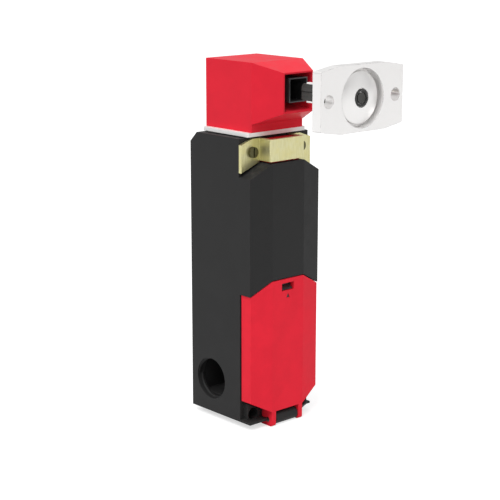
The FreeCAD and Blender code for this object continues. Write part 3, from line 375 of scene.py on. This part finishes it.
def metal(name, colour, settings, rough, lay=(1, 1, 1), uneven=0.12, stained=None,
          metallic=1.0):
    """Metal with a machined or plated lay, stains and bright edges."""
    mat, tree, surface = start_material(name)
    cloud = shared(tree, "broad_cloud", Scale=320.0)
    edge = shared(tree, "soft_edge", Radius=settings.edge * METAL_EDGE, Scale=900.0)
    stretch = tuple(SCRATCHES_PER_METRE * part for part in lay)
    scratches = noise(tree, 1.0, 3.0, stretch)
    base = blend_colour(tree, cloud.outputs["Value"], shade(colour, 1 - uneven),
                        stained or shade(colour, 1 + uneven))
    streaks = spread(tree, scratches, *STREAK_LEVELS, 0.0, STREAK_STRENGTH)
    streaked = blend_colour(tree, streaks, base, shade(colour, STREAK_SHADE))
    edge_tinted = blend_colour(tree, edge.outputs["Mask"], streaked, shade(colour, METAL_WEAR))
    tree.links.new(edge_tinted, surface.inputs["Base Color"])
    surface.inputs["Metallic"].default_value = metallic
    smoothest, roughest = (rough + swing for swing in METAL_SWING)
    rougher = spread(tree, scratches, *SCRATCH_LEVELS, smoothest, roughest)
    tree.links.new(rougher, surface.inputs["Roughness"])
    finish_surface(tree, surface, scratches, SCRATCH_DEPTH, edge)
    return mat


def seen_ray(tree):
    """One for rays from the camera, and for those off metal or through glass."""
    path = add(tree, "ShaderNodeLightPath")
    mirrored = math_node(tree, "MAXIMUM", path.outputs["Is Glossy Ray"],
                         path.outputs["Is Transmission Ray"])
    return math_node(tree, "MAXIMUM", path.outputs["Is Camera Ray"], mirrored)


def dress(mat, *names):
    """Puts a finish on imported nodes."""
    for name in names:
        piece = NODES[name]
        if not piece.data.materials:
            piece.data.materials.append(mat)
        for slot in piece.material_slots:
            slot.material = mat


def join_rows(form, rows):
    """Faces between neighbouring rings of corners, and over the first and the last ring."""
    for first, second in zip(rows, rows[1:]):
        for side in range(len(first)):
            after = (side + 1) % len(first)
            form.faces.new((first[side], first[after], second[after], second[side]))
    form.faces.new(rows[0])
    form.faces.new(rows[-1])


def mesh_piece(name, build, mat, body):
    """A new piece made with bmesh, that rides on a body."""
    form = bmesh.new()
    build(form)
    bmesh.ops.recalc_face_normals(form, faces=form.faces)
    mesh = bpy.data.meshes.new(name)
    form.to_mesh(mesh)
    form.free()
    mesh.materials.append(mat)
    piece = bpy.data.objects.new(name, mesh)
    bpy.context.scene.collection.objects.link(piece)
    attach(piece, body)
    return piece


# ---------------------------------------------------------------- operators
# Share of the pitch that the thread's foot takes, each way, and of the foot that its crest takes
THREAD_FOOT = 0.42
THREAD_CREST = 0.3
# The thread runs out over this many steps at each end, down to this height
FADE_STEPS = 6
LEAST_THREAD = 0.02 * MM
# Corners of the shoulder's skin that lie closer than this are one corner
SAME_CORNER = 0.001 * MM

# Sizes and places of the lamps, in metres from the origin of the part
KEY_SIZE = 0.9
KEY_PLACE = (-0.98, -0.42, 1.50)
FILL_SIZE = 1.0
FILL_PLACE = (0.9, -1.25, 0.55)

# Place of the camera, the way it looks, and what it takes in, in metres but for the sensor
CAMERA_PLACE = (-0.3019, -0.3479, 0.1579)
CAMERA_AIM = (0.6507, 0.7234, -0.2306)
CAMERA_NEAR = 0.01
SENSOR_MM = 36.0

# Upward part of the direction at which the sky reaches its full strength
SKY_TOP = 0.7
FLOOR_ROUGH = 0.9


class DressOperator:
    """Common parts of the operators that finish or make pieces."""
    bl_options = {"REGISTER", "UNDO"}

    @property
    def finish(self):
        return bpy.context.scene.interlock_finish


class INTERLOCK_OT_housing(DressOperator, bpy.types.Operator):
    """Finish the black moulded housing"""
    bl_idname = "interlock.housing"
    bl_label = "Housing"

    def execute(self, context):
        dress(moulded("black_moulding", self.finish.body, self.finish, rough=0.52, uneven=0.05,
                      grain=1.4, edge_wear_and_shade=1.9, dust=0.04, specular=0.13), "housing")
        return {"FINISHED"}


class INTERLOCK_OT_red_shells(DressOperator, bpy.types.Operator):
    """Finish the red lid, head shell and retainer, and the black latch"""
    bl_idname = "interlock.red_shells"
    bl_label = "Red shells"

    def execute(self, context):
        red = moulded("red_moulding", self.finish.red, self.finish, rough=0.40, uneven=0.03,
                      grain=0.5, grain_scale=1700.0, edge_wear_and_shade=1.10, dust=0.02, specular=0.06)
        dress(red, "head_shell", "head_retainer")
        # Painted light: the lid is the head's red made paler by 1.13, to make up for the lesser
        # light that falls on the lid.
        lid = moulded("lid_red_painted_light", shade(self.finish.red, 1.13), self.finish, rough=0.44,
                      uneven=0.045, grain=0.7, grain_scale=1700.0, edge_wear_and_shade=1.10, dust=0.02,
                      specular=0.06)
        dress(lid, "lid")
        dress(moulded("latch_moulding", self.finish.guide, self.finish, rough=0.5), "lid_latch")
        return {"FINISHED"}


class INTERLOCK_OT_bracket(DressOperator, bpy.types.Operator):
    """Finish the plated bracket and its screws"""
    bl_idname = "interlock.bracket"
    bl_label = "Bracket"

    def execute(self, context):
        zinc = self.finish.zinc
        paler = (zinc[0] * 0.97, zinc[1], zinc[2] * 1.22)
        dress(metal("zinc_plate", zinc, self.finish, rough=0.40, lay=(1, 1, 0.12), uneven=0.05,
                    stained=paler, metallic=0.85),
              "retaining_bracket")
        # Painted shade: the screws take the zinc darkened to 0.16, standing for the shade of the
        # recess each sits in.
        dress(metal("zinc_screw_painted_shade", shade(zinc, 0.16), self.finish, rough=0.36, metallic=0.8),
              "bracket_screws")
        return {"FINISHED"}


class INTERLOCK_OT_white_mouldings(DressOperator, bpy.types.Operator):
    """Finish the actuator plate, its dome, the head base and the plunger"""
    bl_idname = "interlock.white_mouldings"
    bl_label = "White mouldings"

    def execute(self, context):
        white = self.finish.white
        # Painted shade: the plate's edges are darkened to 0.30, drawing a dark line along each
        # edge.
        dress(moulded("plate_lacquer", white, self.finish, rough=0.34, uneven=0.015, grain=0.08,
                      edge_wear_and_shade=0.30, dust=0.02, metallic=0.5), "actuator_plate", "swivel_dome")
        dress(moulded("base_moulding", shade(white, 1.06), self.finish, rough=0.42, uneven=0.03,
                      grain=0.4, edge_wear_and_shade=1.05, dust=0.04), "head_base", "plunger", "glide_pads")
        return {"FINISHED"}


class INTERLOCK_OT_mechanism(DressOperator, bpy.types.Operator):
    """Finish the tongue, the entry guide, the cam and the steel pins and screws"""
    bl_idname = "interlock.mechanism"
    bl_label = "Mechanism"

    def execute(self, context):
        steel = self.finish.steel
        dress(metal("tongue_steel", self.finish.tongue, self.finish, rough=0.42,
                    lay=(1, 0.08, 1), metallic=0.75), "tongue")
        dress(moulded("guide_moulding", self.finish.guide, self.finish, rough=0.35, grain=0.3,
                      edge_wear_and_shade=7.0, dust=0.02), "entry_guide")
        dress(metal("cam_steel", shade(steel, 0.7), self.finish, rough=0.40), "cam")
        dress(metal("bright_steel", steel, self.finish, rough=0.28, lay=(0.1, 1, 1)),
              "cam_axle", "head_screws", "terminal_screws", "block_screws",
              "clamp_plates", "carriage_spring")
        # Steel darkened to 0.10: on the flex spring it is painted shade, so the spring shows the
        # dark of the hole it sits in; the hinge pin shares it as a dark finish.
        dress(metal("dark_steel_and_painted_shade", shade(steel, 0.10), self.finish, rough=0.40), "flex_spring",
              "lid_hinge_pin")
        return {"FINISHED"}


class INTERLOCK_OT_contacts(DressOperator, bpy.types.Operator):
    """Finish the contact block, its carriage and the lid seal"""
    bl_idname = "interlock.contacts"
    bl_label = "Contacts"

    def execute(self, context):
        dress(moulded("case_moulding", self.finish.case, self.finish, rough=0.55, grain=0.8,
                      edge_wear_and_shade=1.1), "contact_case")
        dress(moulded("carriage_moulding", self.finish.carriage, self.finish, rough=0.45,
                      grain=0.4, edge_wear_and_shade=1.3), "contact_carriage")
        dress(metal("contact_brass", self.finish.brass, self.finish, rough=0.30,
                    lay=(1, 1, 0.1)), "front_contacts", "rear_contacts", "contact_bridges")
        dress(moulded("seal_rubber", self.finish.rubber, self.finish, rough=0.8, grain=0.6,
                      edge_wear_and_shade=1.4), "lid_seal")
        return {"FINISHED"}


class INTERLOCK_OT_cable_thread(DressOperator, bpy.types.Operator):
    """Make the thread inside the cable entry"""
    bl_idname = "interlock.cable_thread"
    bl_label = "Cable thread"

    def execute(self, context):
        settings = context.scene.interlock_thread
        entry = MOUNTS["conduit_entry"]
        centre = Vector(entry["pos_m"])
        bore = entry["dims"]["r_mm"] * MM
        length = entry["dims"]["length_mm"] * MM
        turns = math.floor((length - settings.pitch) / settings.pitch * 2) / 2
        count = int(turns * settings.steps)
        start = -turns * settings.pitch / 2
        foot = settings.pitch * THREAD_FOOT
        top = foot * THREAD_CREST

        def build(form):
            rows = []
            for step in range(count + 1):
                angle = 2 * math.pi * step / settings.steps
                along = start + settings.pitch * step / settings.steps
                fade = min(1.0, step / FADE_STEPS, (count - step) / FADE_STEPS)
                crest = bore - max(settings.depth * fade, LEAST_THREAD)
                profile = ((-foot, bore), (-top, crest), (top, crest), (foot, bore))
                rows.append([form.verts.new(centre + Vector((
                    along + shift, radius * math.cos(angle), radius * math.sin(angle))))
                    for shift, radius in profile])
            join_rows(form, rows)

        thread = moulded("thread_moulding", self.finish.body, self.finish, rough=0.5, grain=0.3,
                         specular=0.15)
        mesh_piece("cable_thread", build, thread, "body")
        return {"FINISHED"}


class INTERLOCK_OT_shoulder(DressOperator, bpy.types.Operator):
    """Make the skin of the housing's shoulder under the bracket's ears"""
    bl_idname = "interlock.shoulder"
    bl_label = "Shoulder"

    def execute(self, context):
        size = context.scene.interlock_shoulder

        # The housing's chamber opens through its shoulder here, and the skin closes it.
        def build(form):
            for side in (-1, 1):
                rows = []
                for x, height in ((size.inner, size.top), (size.outer, size.top - size.fall)):
                    low = height - size.skin
                    profile = [(-size.front, low), (-size.front, height), (-size.root, height),
                               (-size.root, size.top), (size.skin - size.root, size.top),
                               (size.skin - size.root, low)]
                    rows.append([form.verts.new((side * x, y, z)) for y, z in profile])
                join_rows(form, rows)
            bmesh.ops.remove_doubles(form, verts=form.verts, dist=SAME_CORNER)

        mesh_piece("shoulder_skin", build, bpy.data.materials["black_moulding"], "body")
        return {"FINISHED"}


class INTERLOCK_OT_latch_mark(DressOperator, bpy.types.Operator):
    """Make the black triangle in the lid below the latch window"""
    bl_idname = "interlock.latch_mark"
    bl_label = "Latch mark"

    def execute(self, context):
        size = context.scene.interlock_mark
        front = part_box("lid")[0][1] + size.depth

        half = size.width / 2
        foot = size.height - size.width
        corners = ((-half, foot), (half, foot), (0, size.height))

        def build(form):
            join_rows(form, [[form.verts.new((x, y, z)) for x, z in corners]
                             for y in (front - size.paint, front)])

        paint = moulded("mark_paint", self.finish.guide, self.finish, rough=0.55, grain=0.2)
        mesh_piece("latch_mark", build, paint, "wiring_lid")
        return {"FINISHED"}


def aim(thing, place, target):
    """Puts a lamp or a camera in its place, turned towards the target."""
    thing.location = place
    thing.rotation_euler = (Vector(target) - Vector(place)).to_track_quat("-Z", "Y").to_euler()


class INTERLOCK_OT_stage(bpy.types.Operator):
    """Make the floor, the lamps, the world and the camera"""
    bl_idname = "interlock.stage"
    bl_label = "Stage"

    def execute(self, context):
        settings = context.scene.interlock_stage
        scene = context.scene
        low, high = (Vector(corner) for corner in CAD_BOX)
        middle = (low + high) / 2
        self.make_floor(scene, settings, low.z)
        self.make_world(scene, settings)
        self.make_lamp(scene, "key_lamp", settings.key, KEY_SIZE, KEY_PLACE, middle)
        self.make_lamp(scene, "fill_lamp", settings.fill, FILL_SIZE, FILL_PLACE, middle)
        camera = bpy.data.objects.new("camera", bpy.data.cameras.new("camera"))
        scene.collection.objects.link(camera)
        camera.data.sensor_width = SENSOR_MM
        camera.data.lens = settings.lens
        camera.data.clip_start = CAMERA_NEAR
        place = Vector(CAMERA_PLACE)
        aim(camera, place, place + Vector(CAMERA_AIM))
        scene.camera = camera
        scene.view_settings.view_transform = "Standard"
        return {"FINISHED"}

    def make_floor(self, scene, settings, height):
        half = settings.floor / 2
        mesh = bpy.data.meshes.new("floor")
        mesh.from_pydata([(-half, -half, height), (half, -half, height),
                          (half, half, height), (-half, half, height)], [], [(0, 1, 2, 3)])
        mat, tree, surface = start_material("pale_floor")
        surface.inputs["Base Color"].default_value = (*[settings.tone] * 3, 1.0)
        surface.inputs["Roughness"].default_value = FLOOR_ROUGH
        surface.inputs["Specular IOR Level"].default_value = 0.0
        lifted = add(tree, "ShaderNodeEmission", inputs={"Color": PLAIN_WHITE})
        tree.links.new(math_node(tree, "MULTIPLY", seen_ray(tree), settings.lift),
                       lifted.inputs["Strength"])
        both = add(tree, "ShaderNodeAddShader")
        tree.links.new(surface.outputs[0], both.inputs[0])
        tree.links.new(lifted.outputs[0], both.inputs[1])
        output = tree.nodes["Material Output"]
        tree.links.new(both.outputs[0], output.inputs["Surface"])
        mesh.materials.append(mat)
        floor = bpy.data.objects.new("floor", mesh)
        scene.collection.objects.link(floor)

    def make_world(self, scene, settings):
        world = bpy.data.worlds.new("soft_sky")
        world.use_nodes = True
        tree = world.node_tree
        sky = tree.nodes["Background"]
        sky.inputs["Color"].default_value = PLAIN_WHITE
        where = add(tree, "ShaderNodeTexCoord")
        split = add(tree, "ShaderNodeSeparateXYZ")
        tree.links.new(where.outputs["Generated"], split.inputs[0])
        path = add(tree, "ShaderNodeLightPath")
        rise = split.outputs["Z"]
        soft = spread(tree, rise, 0.0, SKY_TOP, settings.low_sky, settings.high_sky)
        mirrored = spread(tree, rise, 0.0, SKY_TOP, settings.dusk, 1.0)
        seen = math_node(tree, "MAXIMUM", path.outputs["Is Camera Ray"],
                         path.outputs["Is Transmission Ray"])
        shown = pick(tree, path.outputs["Is Glossy Ray"], soft, mirrored)
        tree.links.new(pick(tree, seen, shown, 1.0), sky.inputs["Strength"])
        scene.world = world

    def make_lamp(self, scene, name, power, size, place, target):
        data = bpy.data.lights.new(name, "AREA")
        data.energy = power
        data.size = size
        lamp = bpy.data.objects.new(name, data)
        scene.collection.objects.link(lamp)
        aim(lamp, Vector(place), target)


OPERATORS = (INTERLOCK_OT_housing, INTERLOCK_OT_red_shells, INTERLOCK_OT_bracket,
             INTERLOCK_OT_white_mouldings, INTERLOCK_OT_mechanism, INTERLOCK_OT_contacts,
             INTERLOCK_OT_cable_thread, INTERLOCK_OT_shoulder, INTERLOCK_OT_latch_mark,
             INTERLOCK_OT_stage)
SETTINGS = {"interlock_finish": FinishSettings, "interlock_thread": ThreadSettings,
            "interlock_shoulder": ShoulderSettings, "interlock_mark": MarkSettings,
            "interlock_stage": StageSettings}


class INTERLOCK_PT_panel(bpy.types.Panel):
    """Buttons and sizes of the interlock switch"""
    bl_idname = "INTERLOCK_PT_panel"
    bl_label = "Interlock switch"
    bl_space_type = "VIEW_3D"
    bl_region_type = "UI"
    bl_category = "Interlock"

    def draw(self, context):
        for operator in OPERATORS:
            self.layout.operator(operator.bl_idname)
        for name, group in SETTINGS.items():
            column = self.layout.column()
            for field in group.__annotations__:
                column.prop(getattr(context.scene, name), field)


CLASSES = (*SETTINGS.values(), *OPERATORS, INTERLOCK_PT_panel)


def register():
    for item in CLASSES:
        bpy.utils.register_class(item)
    for name, group in SETTINGS.items():
        setattr(bpy.types.Scene, name, PointerProperty(type=group))


def unregister():
    for name in SETTINGS:
        delattr(bpy.types.Scene, name)
    for item in reversed(CLASSES):
        bpy.utils.unregister_class(item)


def main():
    register()
    for operator in OPERATORS:
        family, _, name = operator.bl_idname.partition(".")
        getattr(getattr(bpy.ops, family), name)()


if __name__ == "__main__":
    main()
